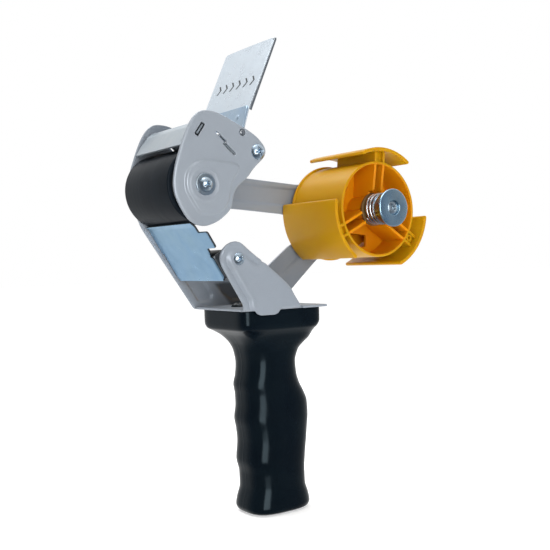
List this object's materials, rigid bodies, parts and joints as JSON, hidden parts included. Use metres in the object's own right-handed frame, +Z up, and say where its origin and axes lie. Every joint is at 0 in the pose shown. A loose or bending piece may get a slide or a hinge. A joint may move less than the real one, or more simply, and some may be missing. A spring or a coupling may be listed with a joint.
{
  "type": "tape gun dispenser",
  "caption": "Hand-held packing tape gun: stamped side frame with pressing roller, wipe-down flap, sprung guide plate, friction-braked tape hub and pistol grip.",
  "frame": {"origin": "centre of the tape roll, on the hub axle at the middle of the tape's width", "axes": "+X from the roller towards the hub, +Y from the open side to the side plate, +Z up away from the grip; the hub's axis is Y"},
  "size_m": [0.1889, 0.0742, 0.2784],
  "materials": {
    "grey_paint": "light grey powder coat, fine orange peel",
    "roller_rubber": "satin black rubber",
    "black_moulding": "moulded black plastic",
    "bright_steel": "turned bright steel",
    "white_nylon": "natural nylon",
    "zinc_hardware": "clear blue zinc plate",
    "blade_steel": "ground blade steel",
    "zinc_sheet": "zinc-plated sheet",
    "zinc_blue_sheet": "blue zinc-plated sheet",
    "flap_steel": "bright zinc-plated spring steel",
    "spring_wire": "drawn spring wire",
    "yellow_moulding": "moulded amber yellow plastic",
    "fibre_washer": "pressed fibre",
    "zinc_knob": "turned and zinc-plated steel",
    "black_grip": "glossy black moulding"
  },
  "bodies": {
    "frame": {"frame": "grey_paint", "near_cheek": "grey_paint", "roller_shaft": "bright_steel", "thrust_washers": "white_nylon", "screw_washers": "zinc_hardware", "roller_screws": "zinc_hardware", "rear_tie_rod": "bright_steel", "rear_screws": "zinc_hardware", "cutting_blade": "blade_steel", "blade_guard": "zinc_sheet", "flap_pin": "bright_steel", "flap_spring": "spring_wire", "guide_shaft": "bright_steel", "guide_sleeve": "black_moulding", "guide_screws": "zinc_hardware", "guide_spring": "spring_wire", "hub_axle": "bright_steel", "axle_nut": "zinc_hardware", "axle_spacer": "zinc_hardware", "friction_washer": "fibre_washer", "brake_spring": "spring_wire", "lock_screw": "zinc_hardware", "handle": "black_grip", "handle_screws": "zinc_hardware"},
    "roller": {"roller_tube": "roller_rubber", "roller_end_caps": "black_moulding"},
    "flap": {"push_flap": "flap_steel", "flap_bracket": "zinc_sheet", "flap_rivets": "zinc_hardware"},
    "guide": {"guide_plate": "zinc_blue_sheet"},
    "hub": {"tape_hub": "yellow_moulding", "hub_bushings": "black_moulding"},
    "brake_washer": {"pressure_washer": "zinc_hardware"},
    "brake_knob": {"brake_knob": "zinc_knob"}
  },
  "joints": [
    {"name": "roller_spin", "type": "hinge", "parent": "frame", "child": "roller", "pos_m": [-0.1293, 0, 0.0118], "axis": [0, 1, 0], "continuous": true},
    {"name": "hub_spin", "type": "hinge", "parent": "frame", "child": "hub", "pos_m": [0, 0, 0], "axis": [0, 1, 0], "continuous": true},
    {"name": "flap_swing", "type": "hinge", "parent": "frame", "child": "flap", "pos_m": [-0.1035, 0, 0.0415], "axis": [0, 1, 0], "range_deg": [0, 30], "stiffness_Nm_per_rad": 0.25, "springref_deg": -20.05, "deforming": ["flap_spring"]},
    {"name": "guide_swing", "type": "hinge", "parent": "frame", "child": "guide", "pos_m": [-0.1088, 0, -0.0288], "axis": [0, 1, 0], "range_deg": [-14, 0], "stiffness_Nm_per_rad": 0.12, "springref_deg": 22.92, "deforming": ["guide_spring"]},
    {"name": "brake_press", "type": "slide", "parent": "frame", "child": "brake_washer", "axis": [0, 1, 0], "range_m": [0, 0.00187], "deforming": ["brake_spring"]},
    {"name": "brake_turn", "type": "hinge", "parent": "brake_washer", "child": "brake_knob", "pos_m": [0, 0, 0], "axis": [0, 1, 0], "range_deg": [0, 540]}
  ],
  "couplings": [
    {"joint": "brake_turn", "follows": "brake_press", "rad_per_m": 5026.5}
  ]
}
